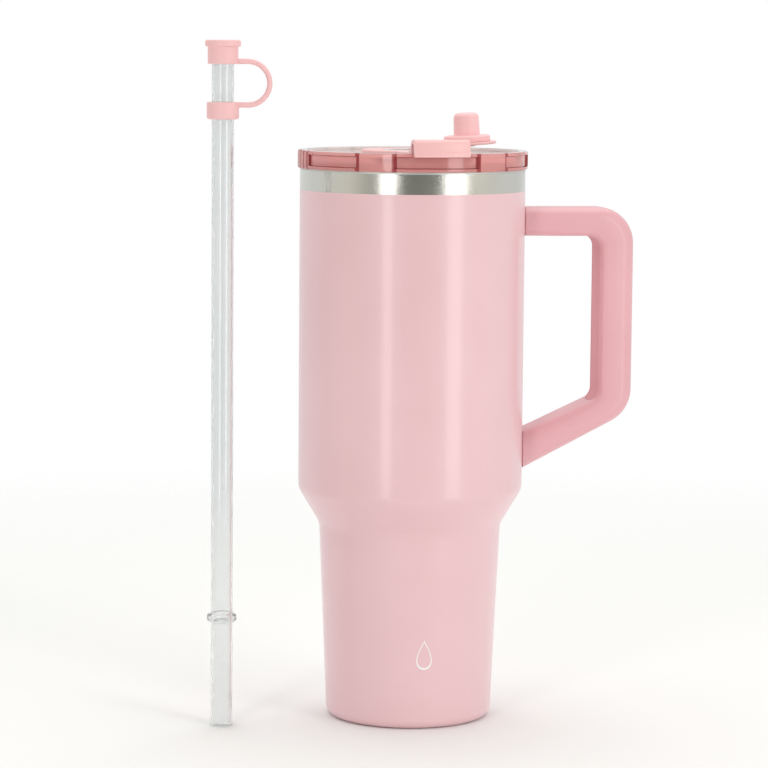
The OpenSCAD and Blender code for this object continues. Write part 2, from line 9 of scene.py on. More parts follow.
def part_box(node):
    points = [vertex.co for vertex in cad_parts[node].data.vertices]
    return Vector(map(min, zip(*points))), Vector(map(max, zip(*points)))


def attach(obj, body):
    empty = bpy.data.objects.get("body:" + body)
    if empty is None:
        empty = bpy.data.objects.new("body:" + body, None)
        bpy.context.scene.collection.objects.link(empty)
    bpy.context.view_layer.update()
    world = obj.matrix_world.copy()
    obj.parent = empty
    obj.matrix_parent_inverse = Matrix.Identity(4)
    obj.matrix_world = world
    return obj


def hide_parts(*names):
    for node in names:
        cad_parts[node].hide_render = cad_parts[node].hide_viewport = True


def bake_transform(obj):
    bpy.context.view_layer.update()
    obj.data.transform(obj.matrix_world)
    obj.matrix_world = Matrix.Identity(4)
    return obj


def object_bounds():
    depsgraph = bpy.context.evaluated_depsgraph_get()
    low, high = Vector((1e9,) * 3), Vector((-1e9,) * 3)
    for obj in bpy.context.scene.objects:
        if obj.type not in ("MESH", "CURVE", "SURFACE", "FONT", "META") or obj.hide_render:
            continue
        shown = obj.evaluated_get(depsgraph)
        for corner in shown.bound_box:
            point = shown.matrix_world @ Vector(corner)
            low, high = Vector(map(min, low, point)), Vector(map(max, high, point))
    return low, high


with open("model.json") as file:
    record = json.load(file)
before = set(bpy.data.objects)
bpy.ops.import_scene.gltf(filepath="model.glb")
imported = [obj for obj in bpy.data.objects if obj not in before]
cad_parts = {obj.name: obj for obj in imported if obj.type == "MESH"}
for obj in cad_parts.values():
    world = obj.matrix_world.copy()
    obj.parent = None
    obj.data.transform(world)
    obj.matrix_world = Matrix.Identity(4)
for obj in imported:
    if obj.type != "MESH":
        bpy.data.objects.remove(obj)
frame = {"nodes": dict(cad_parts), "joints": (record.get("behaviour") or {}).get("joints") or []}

cad_low, cad_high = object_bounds()


# ---- Studio ----
# A pale matt floor that thins out into a white surround. Two tall soft boxes stand in front of the tumbler, to its
# left and right, and leave the two bright stripes on bare steel; a wide one hangs above it. The camera stands a
# little above the lid.
mm = 0.001
tumbler_middle = Vector((0, 0, 150 * mm))


def soft_box(name, azimuth, distance, height, width, tall, power):
    """A rectangular area light at an azimuth from straight ahead, in degrees, that faces the tumbler's middle."""
    light = bpy.data.lights.new(name, "AREA")
    light.shape = "RECTANGLE"
    light.size = width
    light.size_y = tall
    light.energy = power
    obj = bpy.data.objects.new(name, light)
    bpy.context.scene.collection.objects.link(obj)
    turn = math.radians(azimuth)
    obj.location = (distance * math.sin(turn), -distance * math.cos(turn), height)
    look = tumbler_middle - obj.location
    obj.rotation_euler = look.to_track_quat("-Z", "Y").to_euler()


soft_box("left_box", -24.5, 1.2, 0.30, 0.20, 1.5, 4.0)
soft_box("right_box", 43, 1.2, 0.30, 0.34, 1.5, 5.6)
soft_box("top_box", 180, 0.35, 1.5, 1.4, 1.4, 8.0)

surround = bpy.data.worlds.new("white_surround")
surround.use_nodes = True
bpy.context.scene.world = surround
sky = surround.node_tree.nodes
sky_way = sky.new("ShaderNodeTexCoord")
sky_split = sky.new("ShaderNodeSeparateXYZ")
sky_range = sky.new("ShaderNodeMapRange")
sky_range.inputs["From Min"].default_value = -1
sky_ramp = sky.new("ShaderNodeValToRGB")
sky_ramp.color_ramp.elements[0].color = (0.25, 0.25, 0.225, 1)
sky_ramp.color_ramp.elements[0].position = 0.06
sky_ramp.color_ramp.elements[1].color = (0.84, 0.86, 0.86, 1)
sky_ramp.color_ramp.elements[1].position = 0.80
sky_ramp.color_ramp.elements.new(0.30).color = (0.78, 0.76, 0.69, 1)
sky_path = sky.new("ShaderNodeLightPath")
sky_mix = sky.new("ShaderNodeMix")
sky_mix.data_type = "RGBA"
sky_mix.inputs["B"].default_value = (1, 1, 1, 1)
for source, target in (
    (sky_way.outputs["Generated"], sky_split.inputs[0]),
    (sky_split.outputs["Y"], sky_range.inputs["Value"]),
    (sky_range.outputs["Result"], sky_ramp.inputs["Fac"]),
    (sky_ramp.outputs["Color"], sky_mix.inputs["A"]),
    (sky_path.outputs["Is Camera Ray"], sky_mix.inputs["Factor"]),
    (sky_mix.outputs["Result"], sky["Background"].inputs["Color"]),
):
    surround.node_tree.links.new(source, target)


class Finish:
    """A material under construction: its nodes, its links and its one surface shader."""

    def __init__(self, name, **sockets):
        self.material = bpy.data.materials.new(name)
        self.material.use_nodes = True
        self.tree = self.material.node_tree
        self.shader = self.tree.nodes["Principled BSDF"]
        for socket, value in sockets.items():
            self.shader.inputs[socket.replace("_", " ").title().replace("Ior", "IOR")].default_value = value

    def add(self, kind, **values):
        node = self.tree.nodes.new("ShaderNode" + kind)
        for socket, value in values.items():
            node.inputs[socket.replace("_", " ").title()].default_value = value
        return node

    def link(self, source, target):
        self.tree.links.new(source, target)


def floor_finish():
    made = Finish("pale_floor", base_color=(0.90, 0.90, 0.90, 1), roughness=0.75)
    place = made.add("TexCoord")
    grain = made.add("TexNoise", scale=240)
    bump = made.add("Bump", strength=0.03, distance=0.0004)
    away = made.add("VectorMath")
    away.operation = "LENGTH"
    fade = made.add("MapRange", from_min=0.35, from_max=0.80, to_min=1, to_max=0)
    made.link(place.outputs["Object"], grain.inputs["Vector"])
    made.link(grain.outputs["Fac"], bump.inputs["Height"])
    made.link(bump.outputs["Normal"], made.shader.inputs["Normal"])
    made.link(place.outputs["Object"], away.inputs[0])
    made.link(away.outputs["Value"], fade.inputs["Value"])
    made.link(fade.outputs["Result"], made.shader.inputs["Alpha"])
    return made.material


floor_r = 0.9
floor_net = bmesh.new()
bmesh.ops.create_circle(floor_net, cap_ends=True, segments=96, radius=floor_r)
floor_mesh = bpy.data.meshes.new("floor")
floor_net.to_mesh(floor_mesh)
floor_obj = bpy.data.objects.new("floor", floor_mesh)
floor_obj.location = (0, 0, cad_low.z - 0.02 * mm)
bpy.context.scene.collection.objects.link(floor_obj)
floor_mesh.materials.append(floor_finish())

eye = bpy.data.cameras.new("eye")
eye.lens = 144.4
eye.sensor_width = 36
eye_obj = bpy.data.objects.new("eye", eye)
bpy.context.scene.collection.objects.link(eye_obj)
eye_down = math.radians(6.3)
eye_roll = math.radians(0.47)
eye_at = (-0.0117, -1.340, 0.294)
eye_obj.matrix_world = (Matrix.Translation(eye_at)
                        @ Matrix.Rotation(math.radians(90) - eye_down, 4, "X")
                        @ Matrix.Rotation(eye_roll, 4, "Z"))
bpy.context.scene.camera = eye_obj
bpy.context.scene.view_settings.view_transform = "Standard"


# ---- Outer shell ----
# The outer wall is drawn from stainless sheet: a straight upper part, a sloping shoulder and a tapered lower part
# that goes into a cup holder. Pink powder coat covers it up to a clean line; the band above stays bare and brushed.
def rounded(points, steps=5):
    """Points of a closed outline whose corners (x, y, radius) are turned into arcs, sharp where the radius is 0."""
    out = []
    for i, (x, y, radius) in enumerate(points):
        here = Vector((x, y))
        before = Vector(points[i - 1][:2]) - here
        after = Vector(points[(i + 1) % len(points)][:2]) - here
        if radius <= 0:
            out.append(here)
            continue
        half = before.angle(after) / 2
        reach = min(radius / math.tan(half), before.length * 0.49, after.length * 0.49)
        radius = reach * math.tan(half)
        before.normalize()
        after.normalize()
        middle = here + (before + after).normalized() * radius / math.sin(half)
        first = here + before * reach - middle
        swing = first.angle_signed(here + after * reach - middle)
        for k in range(steps + 1):
            out.append(middle + Matrix.Rotation(-swing * k / steps, 2) @ first)
    return out


def new_piece(name, net, materials, body, *nodes, slot=None, flat_under=30):
    """Makes the object from its mesh, gives it its finish, ties it to its body and hides the CAD nodes it stands for.
    """
    bmesh.ops.recalc_face_normals(net, faces=net.faces)
    mesh = bpy.data.meshes.new(name)
    net.to_mesh(mesh)
    net.free()
    mesh.shade_smooth()
    mesh.set_sharp_from_angle(angle=math.radians(flat_under))
    for material in materials:
        mesh.materials.append(material)
    obj = bpy.data.objects.new(name, mesh)
    bpy.context.scene.collection.objects.link(obj)
    if body:
        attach(obj, body)
    if nodes:
        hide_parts(*nodes)
    return obj


def turned(outline, steps=144, centre=(0, 0), net=None):
    """A closed outline of (radius, height) points turned about an upright axis, whose poles are single points."""
    net = net or bmesh.new()
    rings = []
    for point in outline:
        r, z = point[0], point[1]
        if r < 1e-7:
            rings.append([net.verts.new((centre[0], centre[1], z))] * steps)
            continue
        rings.append([net.verts.new((centre[0] + r * math.cos(math.tau * k / steps),
                                     centre[1] + r * math.sin(math.tau * k / steps), z)) for k in range(steps)])
    for i, low in enumerate(rings):
        high = rings[(i + 1) % len(rings)]
        for k in range(steps):
            corners = [low[k], low[(k + 1) % steps], high[(k + 1) % steps], high[k]]
            corners = [v for j, v in enumerate(corners) if v not in corners[:j]]
            if len(corners) > 2:
                net.faces.new(corners)
    return net


def group_tree(name, inputs, outputs):
    """An empty shader node group with float inputs (name, default) and float outputs."""
    tree = bpy.data.node_groups.new(name, "ShaderNodeTree")
    for label, value in inputs:
        tree.interface.new_socket(label, in_out="INPUT", socket_type="NodeSocketFloat").default_value = value
    for label in outputs:
        tree.interface.new_socket(label, in_out="OUTPUT", socket_type="NodeSocketFloat")
    return tree, tree.nodes.new("NodeGroupInput"), tree.nodes.new("NodeGroupOutput")


def make_orange_peel():
    """The slight waviness and fine grit of sprayed powder coat or of a moulded skin, and slow changes of tone."""
    tree, given, result = group_tree("orange_peel", [("Ripple Size", 1.6), ("Grit Size", 0.35), ("Grit", 0.35)],
                                     ["Height", "Tone"])
    place = tree.nodes.new("ShaderNodeTexCoord")
    ripple_scale = tree.nodes.new("ShaderNodeMath")
    grit_scale = tree.nodes.new("ShaderNodeMath")
    ripple = tree.nodes.new("ShaderNodeTexNoise")
    grit = tree.nodes.new("ShaderNodeTexNoise")
    slow = tree.nodes.new("ShaderNodeTexNoise")
    join = tree.nodes.new("ShaderNodeMath")
    for node in (ripple_scale, grit_scale):
        node.operation = "DIVIDE"
        node.inputs[0].default_value = 1000
    join.operation = "MULTIPLY_ADD"
    slow.inputs["Scale"].default_value = 14
    for source, target in (
        (given.outputs["Ripple Size"], ripple_scale.inputs[1]),
        (given.outputs["Grit Size"], grit_scale.inputs[1]),
        (ripple_scale.outputs[0], ripple.inputs["Scale"]),
        (grit_scale.outputs[0], grit.inputs["Scale"]),
        (place.outputs["Object"], ripple.inputs["Vector"]),
        (place.outputs["Object"], grit.inputs["Vector"]),
        (place.outputs["Object"], slow.inputs["Vector"]),
        (grit.outputs["Fac"], join.inputs[0]),
        (given.outputs["Grit"], join.inputs[1]),
        (ripple.outputs["Fac"], join.inputs[2]),
        (join.outputs[0], result.inputs["Height"]),
        (slow.outputs["Fac"], result.inputs["Tone"]),
    ):
        tree.links.new(source, target)
    return tree


orange_peel = make_orange_peel()


def skin(made, tree, values, bump_depth, dark, light, rough):
    """Places a surface effect in a material: its Height bumps the surface, its Tone shifts colour and roughness."""
    effect = made.add("Group")
    effect.node_tree = tree
    for label, value in values.items():
        effect.inputs[label].default_value = value
    bump = made.add("Bump", strength=1.0, distance=bump_depth)
    colour = made.add("ValToRGB")
    colour.color_ramp.elements[0].position = 0.3
    colour.color_ramp.elements[0].color = (*dark, 1)
    colour.color_ramp.elements[1].position = 0.7
    colour.color_ramp.elements[1].color = (*light, 1)
    shine = made.add("MapRange", from_min=0.3, from_max=0.7, to_min=rough[0], to_max=rough[1])
    made.link(effect.outputs["Height"], bump.inputs["Height"])
    made.link(bump.outputs["Normal"], made.shader.inputs["Normal"])
    made.link(effect.outputs["Tone"], colour.inputs["Fac"])
    made.link(colour.outputs["Color"], made.shader.inputs["Base Color"])
    made.link(effect.outputs["Tone"], shine.inputs["Value"])
    made.link(shine.outputs["Result"], made.shader.inputs["Roughness"])


def make_turned_brush():
    """Hairlines that run round the upright axis, as an abrasive belt leaves them on a spinning cup."""
    tree, given, result = group_tree("turned_brush", [("Line Height", 0.12), ("Line Length", 30)], ["Height", "Tone"])
    place = tree.nodes.new("ShaderNodeTexCoord")
    split = tree.nodes.new("ShaderNodeSeparateXYZ")
    around = tree.nodes.new("ShaderNodeMath")
    up = tree.nodes.new("ShaderNodeMath")
    radius = tree.nodes.new("ShaderNodeVectorMath")
    flat = tree.nodes.new("ShaderNodeVectorMath")
    out = tree.nodes.new("ShaderNodeMath")
    turn = tree.nodes.new("ShaderNodeMath")
    join = tree.nodes.new("ShaderNodeCombineXYZ")
    lines = tree.nodes.new("ShaderNodeTexNoise")
    cloud = tree.nodes.new("ShaderNodeTexNoise")
    around.operation = "ARCTAN2"
    up.operation = "DIVIDE"
    turn.operation = "DIVIDE"
    out.operation = "DIVIDE"
    radius.operation = "LENGTH"
    flat.operation = "MULTIPLY"
    flat.inputs[1].default_value = (1, 1, 0)
    lines.inputs["Scale"].default_value = 1000
    lines.inputs["Detail"].default_value = 3
    cloud.inputs["Scale"].default_value = 30
    for source, target in (
        (place.outputs["Object"], split.inputs[0]),
        (place.outputs["Object"], flat.inputs[0]),
        (flat.outputs[0], radius.inputs[0]),
        (split.outputs["Y"], around.inputs[0]),
        (split.outputs["X"], around.inputs[1]),
        (split.outputs["Z"], up.inputs[0]),
        (given.outputs["Line Height"], up.inputs[1]),
        (radius.outputs["Value"], out.inputs[0]),
        (given.outputs["Line Height"], out.inputs[1]),
        (around.outputs[0], turn.inputs[0]),
        (given.outputs["Line Length"], turn.inputs[1]),
        (turn.outputs[0], join.inputs["X"]),
        (out.outputs[0], join.inputs["Y"]),
        (up.outputs[0], join.inputs["Z"]),
        (join.outputs[0], lines.inputs["Vector"]),
        (place.outputs["Object"], cloud.inputs["Vector"]),
        (lines.outputs["Fac"], result.inputs["Height"]),
        (cloud.outputs["Fac"], result.inputs["Tone"]),
    ):
        tree.links.new(source, target)
    return tree


turned_brush = make_turned_brush()


def brushed_steel():
    made = Finish("brushed_steel", metallic=1.0, anisotropic=0.75)
    skin(made, turned_brush, {}, 0.00003, (0.60, 0.59, 0.55), (0.72, 0.71, 0.67), (0.11, 0.16))
    tangent = made.add("Tangent")
    tangent.direction_type = "RADIAL"
    tangent.axis = "Z"
    made.link(tangent.outputs["Tangent"], made.shader.inputs["Tangent"])
    return made.material


def powder_coat():
    made = Finish("powder_coat", ior=1.5, coat_weight=0.55, coat_roughness=0.16, coat_ior=1.5)
    skin(made, orange_peel, {"Ripple Size": 2.2, "Grit Size": 0.5}, 0.000035,
         (0.795, 0.515, 0.550), (0.840, 0.560, 0.598), (0.34, 0.42))
    return made.material


steel = brushed_steel()
coat = powder_coat()

shell_low, shell_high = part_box("outer_shell")
body_r = 49 * mm
waist_r = 39.7 * mm
base_r = 36.1 * mm
waist_z = 85.3 * mm
shoulder_z = waist_z + 15.6 * mm
paint_z = 231.2 * mm
paint_t = 0.08 * mm
wall = 0.6 * mm
foot_hole_r = 26 * mm
foot_round = 4.2 * mm
waist_round = 10 * mm
band_r = body_r - paint_t
shell_outline = rounded([
    (foot_hole_r, shell_low.z, 0.2 * mm),
    (base_r, shell_low.z, foot_round),
    (waist_r, waist_z, waist_round),
    (body_r, shoulder_z, 6.5 * mm),
    (body_r, paint_z, 0.05 * mm),
    (band_r, paint_z, 0),
    (band_r, shell_high.z, 0.05 * mm),
    (body_r - wall, shell_high.z, 0.05 * mm),
    (body_r - wall, shoulder_z, 6 * mm),
    (waist_r - wall, waist_z, waist_round),
    (base_r - wall, shell_low.z + wall, foot_round - wall),
    (foot_hole_r, shell_low.z + wall, 0.2 * mm),
], steps=10)
shell_net = turned(shell_outline, 192)
for face in shell_net.faces:
    middle = face.calc_center_median()
    inside = math.hypot(middle.x, middle.y) < body_r - wall * 0.8 and middle.z > shoulder_z
    face.material_index = 1 if middle.z > paint_z - 0.02 * mm or inside else 0
new_piece("painted_shell", shell_net, [coat, steel], "tumbler", "outer_shell", slot="powder_coat")


# ---- Inner liner, base plate and vacuum parts ----
# The liner is the steel cup that holds the drink. Its rim is folded out over the outer wall and welded. The base
# plate closes the foot; it carries the getter pellet inside and the bead that seals the evacuation hole.
def dress(node, material):
    """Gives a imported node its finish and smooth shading; its shape stays as it is."""
    obj = frame["nodes"][node]
    obj.data.materials.clear()
    obj.data.materials.append(material)
    obj.data.shade_smooth()
    obj.data.set_sharp_from_angle(angle=math.radians(30))


def cast_metal(name, dark, light, rough, metallic=1.0):
    made = Finish(name, metallic=metallic)
    skin(made, orange_peel, {"Ripple Size": 1.1, "Grit Size": 0.25, "Grit": 0.8}, 0.00008, dark, light, rough)
    return made.material


liner_steel = cast_metal("liner_steel", (0.60, 0.61, 0.59), (0.70, 0.71, 0.69), (0.28, 0.36), metallic=0.7)
dress("inner_liner", liner_steel)
dress("base_plate", steel)
dress("vacuum_getter", cast_metal("getter_alloy", (0.10, 0.10, 0.11), (0.17, 0.17, 0.18), (0.6, 0.8)))
dress("vacuum_seal_bead", cast_metal("solder", (0.32, 0.32, 0.30), (0.46, 0.46, 0.44), (0.35, 0.5)))


# ---- Plain drop mark ----
# A small outlined drop, printed in white ink on the front of the lower body. It follows the body's taper and lies a
# hair above the paint.
def print_ink():
    made = Finish("white_ink")
    skin(made, orange_peel, {"Ripple Size": 1.2, "Grit Size": 0.2}, 0.00002,
         (0.86, 0.84, 0.84), (0.92, 0.91, 0.91), (0.45, 0.6))
    return made.material


def drop_mark(middle_z, half_height, azimuth, line, steps=64):
    """A closed band of the line's width; the power of the sine draws the drop's pointed top."""
    ink_t = 0.03 * mm
    half_width = 0.72 * half_height
    pointed = 1.3
    net = bmesh.new()
    rows = []
    for k in range(steps):
        turn = math.tau * k / steps
        across = half_width * math.sin(turn) * math.sin(turn / 2) ** pointed
        up = half_height * math.cos(turn)
        row = []
        for grow in (0, line):
            scale = 1 - grow / half_height
            z = middle_z + up * scale
            radius = base_r + (waist_r - base_r) * (z - shell_low.z) / (waist_z - shell_low.z) + ink_t
            swing = math.radians(azimuth - 90) + across * scale / radius
            row.append(net.verts.new((radius * math.cos(swing), radius * math.sin(swing), z)))
        rows.append(row)
    for k in range(steps):
        near, far = rows[k], rows[(k + 1) % steps]
        net.faces.new((near[0], far[0], far[1], near[1]))
    return net


new_piece("drop_mark", drop_mark(33 * mm, 6.5 * mm, 10, 0.9 * mm), [print_ink()], "tumbler")


# ---- Handle ----
# An injection-moulded D-handle, screwed from below to two steel brackets on the outer wall. Its section is a
# rounded bar. A soft rose insert lines the inside of the grip, round both inner corners, flush with the bar.
def moulded(name, dark, light, rough, depth=0.00004, grit=0.35, **sockets):
    made = Finish(name, **sockets)
    skin(made, orange_peel, {"Ripple Size": 1.5, "Grit Size": 0.32, "Grit": grit}, depth, dark, light, rough)
    return made.material


handle_a = math.radians(10)
handle_w = 21 * mm
handle_reach = 97.8 * mm
grip_in = 82.5 * mm
handle_top = 223.8 * mm
upper_low = 211.3 * mm
foot_z = 109.1 * mm
lower_arm_h = 16.2 * mm
outer_rise = 24.8 * mm
outer_slope = outer_rise / (49 * mm)
inner_slope = outer_slope * 0.867
outer_corner_z = foot_z + outer_rise
inner_corner_z = foot_z + lower_arm_h + inner_slope * (grip_in - body_r)
insert_t = 2.8 * mm
insert_w = 15 * mm
inner_round = 5.5 * mm
outer_round = 16 * mm
insert_from = 14.5 * mm
insert_gap = 0.18 * mm
seam = 0.5 * mm
upper_steps = 14
upper_bend_steps = 18
upright_steps = 16
lower_bend_steps = 14
lower_steps = 12


def bend(before, corner, after, radius, steps):
    """The arc that rounds one corner of an open side outline."""
    arc = rounded([(*before, 0), (*corner, radius), (*after, 0)], steps)
    return arc[1:-1]


def side_stations():
    """Matched points (inner, outer) along the handle, seen from the side as (distance from axis, height)."""
    outer = [Vector((body_r, handle_top)), Vector((handle_reach, handle_top)), Vector((handle_reach, outer_corner_z)),
             Vector((body_r, foot_z))]
    inner = [Vector((body_r, upper_low)), Vector((grip_in, upper_low)), Vector((grip_in, inner_corner_z)),
             Vector((body_r, foot_z + lower_arm_h))]
    lines = []
    for side, radius in ((outer, outer_round), (inner, inner_round)):
        first = bend(side[0], side[1], side[2], radius, upper_bend_steps)
        second = bend(side[1], side[2], side[3], radius, lower_bend_steps)
        upper = [side[0].lerp(first[0], k / upper_steps) for k in range(upper_steps)]
        upright = [first[-1].lerp(second[0], k / upright_steps) for k in range(1, upright_steps)]
        lower = [second[-1].lerp(side[3], k / lower_steps) for k in range(1, lower_steps + 1)]
        lines.append(upper + first + upright + second + lower)
    return list(zip(lines[1], lines[0]))


def bar_ring(net, station, low, high, width, low_round, high_round, gap=None, slopes=(0, 0)):
    """One section of the bar, from low to high off its inner edge. A section with a gap follows the round body."""
    inner, outer = station
    across = outer - inner
    thick = across.length
    across.normalize()
    ring = []
    for y, t in rounded([(-width / 2, low, low_round), (width / 2, low, low_round),
                         (width / 2, high, high_round), (-width / 2, high, high_round)], 7):
        u, z = inner + across * t
        if gap is not None:
            touch = math.sqrt(body_r ** 2 - y ** 2) + gap
            z += (slopes[0] + (slopes[1] - slopes[0]) * t / thick) * (touch - u)
            u = touch
        ring.append(net.verts.new((u * math.cos(handle_a) - y * math.sin(handle_a),
                                   u * math.sin(handle_a) + y * math.cos(handle_a), z)))
    return ring


def loft(net, rings):
    for low, high in zip(rings, rings[1:]):
        for k in range(len(low)):
            net.faces.new((low[k], low[(k + 1) % len(low)], high[(k + 1) % len(high)], high[k]))
    net.faces.new(rings[0])
    net.faces.new(reversed(rings[-1]))
    return net


def joint_rings(net, station, slopes):
    """The end of the bar at the body: a narrow neck that leaves a fine dark groove, then the full section."""
    thick = (station[1] - station[0]).length
    neck = [bar_ring(net, station, seam, thick - seam, handle_w - 2 * seam, 4.6 * mm, 5.6 * mm, gap, slopes)
            for gap in (-0.05 * mm, seam)]
    return neck + [bar_ring(net, station, 0, thick, handle_w, 5.0 * mm, 6.0 * mm, seam, slopes)]


stations = side_stations()
frame_net = bmesh.new()
frame_rings = joint_rings(frame_net, stations[0], (0, 0))
for i, station in enumerate(stations[1:-1], 1):
    free = min(max((8 - i) / 6, (i - len(stations) + 12) / 8, 0), 1)
    thick = (station[1] - station[0]).length
    frame_rings.append(bar_ring(frame_net, station, 0, thick, handle_w, (3.0 + 2.0 * free) * mm, 6.0 * mm))
frame_rings += reversed(joint_rings(frame_net, stations[-1], (inner_slope, outer_slope)))
loft(frame_net, frame_rings)

reach = [0]
for (before, _), (after, _) in zip(stations, stations[1:]):
    reach.append(reach[-1] + (after - before).length)
insert_to = reach[upper_steps + upper_bend_steps + 1 + upright_steps - 1 + lower_bend_steps]


def station_at(length):
    """The matched pair of points at a length along the inner edge."""
    i = max(k for k in range(len(reach) - 1) if reach[k] <= length)
    share = (length - reach[i]) / (reach[i + 1] - reach[i])
    return [stations[i][side].lerp(stations[i + 1][side], share) for side in (0, 1)]


def insert_net(width, low, high, soft, shorten=0):
    """The strip along the inside of the grip, from low to high off its inner edge, with rounded ends."""
    corner = 5 * mm
    half = width / 2
    first, last = insert_from + shorten, insert_to - shorten
    ends = [(corner * (1 - math.cos(math.pi / 2 * k / 8)), half - corner + corner * math.sin(math.pi / 2 * k / 8))
            for k in range(9)]
    spots = [(first + run, wide) for run, wide in ends]
    spots += [(first + corner + (last - first - 2 * corner) * k / 60, half) for k in range(1, 60)]
    spots += [(last - run, wide) for run, wide in reversed(ends)]
    net = bmesh.new()
    return loft(net, [bar_ring(net, station_at(run), low, high, 2 * wide, soft, 0.1 * mm) for run, wide in spots])


def as_object(net):
    bmesh.ops.recalc_face_normals(net, faces=net.faces)
    mesh = bpy.data.meshes.new("piece")
    net.to_mesh(mesh)
    net.free()
    obj = bpy.data.objects.new("piece", mesh)
    bpy.context.scene.collection.objects.link(obj)
    return obj


def fused(nets, cuts=()):
    """One closed shape from several that overlap, with the cuts taken out of it."""
    body = as_object(nets[0])
    others = [(as_object(net), "UNION") for net in nets[1:]] + [(as_object(net), "DIFFERENCE") for net in cuts]
    for other, way in others:
        step = body.modifiers.new(way, "BOOLEAN")
        step.object = other
        step.operation = way
        step.solver = "EXACT"
    made = bpy.data.meshes.new_from_object(body.evaluated_get(bpy.context.evaluated_depsgraph_get()))
    net = bmesh.new()
    net.from_mesh(made)
    bmesh.ops.remove_doubles(net, verts=net.verts, dist=0.00001)
    bpy.data.meshes.remove(made)
    for obj, way in [(body, "")] + others:
        bpy.data.objects.remove(obj)
    return net


frame_net = fused([frame_net], [insert_net(insert_w, -1 * mm, insert_t, 0.1 * mm)])
grip_net = insert_net(insert_w - 2 * insert_gap, 0.05 * mm, insert_t - 0.03 * mm, 0.6 * mm, insert_gap)

handle_plastic = moulded("handle_plastic", (0.755, 0.395, 0.435), (0.790, 0.422, 0.465), (0.36, 0.44),
                         coat_weight=0.25, coat_roughness=0.22)
soft_grip = moulded("soft_grip", (0.690, 0.340, 0.370), (0.735, 0.375, 0.405), (0.62, 0.74), depth=0.00008, grit=0.9)
new_piece("handle_bar", frame_net, [handle_plastic], "tumbler", "handle_frame", slot="handle_plastic")
new_piece("handle_insert", grip_net, [soft_grip], "tumbler", "handle_grip", slot="soft_grip")

screw_steel = cast_metal("screw_steel", (0.50, 0.50, 0.49), (0.60, 0.60, 0.59), (0.28, 0.36))
for bracket in ("upper_handle_bracket", "lower_handle_bracket"):
    dress(bracket, steel)
for screw in ("upper_handle_screw", "lower_handle_screw"):
    dress(screw, screw_steel)


# ---- Lid ----
# One moulding in see-through rose plastic: a plug wall that goes down into the liner, a thin deck with the sip
# opening and the straw boss, and a thick skirt with sunken windows between plain posts and two ribbed grip posts.
lid_a = math.radians(12)
lid_top = 248.4 * mm
rim_z = 240.5 * mm
skirt_r = 49.9 * mm
skirt_in_r = 46.4 * mm
window_depth = 1.1 * mm
frame_h = 1.4 * mm
post_at = math.radians(31)
post_half = math.radians(9.5)
grip_half = math.radians(14.5)
groove_count = 6
groove_r = 0.95 * mm
edge_half = 0.007
end_shade_half = 0.021
steep_rim = 0.35 * mm
deck_z = 246.4 * mm
deck_t = 2 * mm
plug_r = 44.2 * mm
plug_in_r = 42.2 * mm
plug_z = 227 * mm
boss_r = 10.6 * mm
boss_out_r = 12.9 * mm
cover_a = math.radians(14)
hub_z = 246.55 * mm
hub_top = 248.6 * mm
boss_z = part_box("straw_seal")[0].z + 1.2 * mm
sip_r = (34.5 * mm, 41.5 * mm)
sip_half = math.radians(13)
sip_middle = cover_a - math.radians(90)
stop_pin_r = 1.1 * mm
stop_pin_h = 0.9 * mm
stop_pin_out = 18.775 * mm
gasket_groove = (3 * mm, 8 * mm)
gasket_depth = 1 * mm
even_turns = 240
least_turn = 0.0009


def skirt_sink(turn, in_window_height):
    """How far the skirt's outside lies inside its full radius, at an azimuth and at a height."""
    from_grip = (turn - lid_a + math.pi / 2) % math.pi - math.pi / 2
    if abs(from_grip) < grip_half:
        pitch = 2 * grip_half / groove_count
        from_groove = abs(from_grip % pitch - pitch / 2) * skirt_r
        return math.sqrt(max(0, groove_r ** 2 - from_groove ** 2))
    from_post = abs(math.pi / 2 - abs(from_grip) - post_at)
    in_window = in_window_height and from_post > post_half and abs(from_grip) > grip_half + edge_half / 2
    return window_depth if in_window else 0


def in_painted_end_shade(turn, after):
    """Whether a strip of the skirt lies within the band beside a window's end at a post, which is painted dark as
    shade.
    """
    from_grip = ((turn + after) / 2 - lid_a + math.pi / 2) % math.pi - math.pi / 2
    from_post = abs(math.pi / 2 - abs(from_grip) - post_at)
    return after > turn and abs(from_post - post_half) < end_shade_half


def lid_azimuths():
    """Even azimuths, with closer ones at the edges of the windows, along the grooves and beside the sip opening."""
    turns = {round(math.tau * k / even_turns, 5) for k in range(even_turns)}
    for side in (lid_a, lid_a + math.pi):
        for middle, half in ((side, grip_half), (side + math.pi / 2 - post_at, post_half),
                             (side - math.pi / 2 + post_at, post_half)):
            for edge in (-half, half):
                for nudge in (-end_shade_half, -edge_half, edge_half, end_shade_half):
                    turns.add(round((middle + edge + nudge) % math.tau, 5))
        turns |= {round((side + grip_half * k / 60) % math.tau, 5) for k in range(-59, 60)}
    for edge in (sip_middle - sip_half, sip_middle + sip_half):
        turns.add(round(edge % math.tau, 5))
    ordered = sorted(turns)
    kept = [ordered[0]]
    for turn in ordered[1:]:
        if turn - kept[-1] > least_turn:
            kept.append(turn)
    return kept


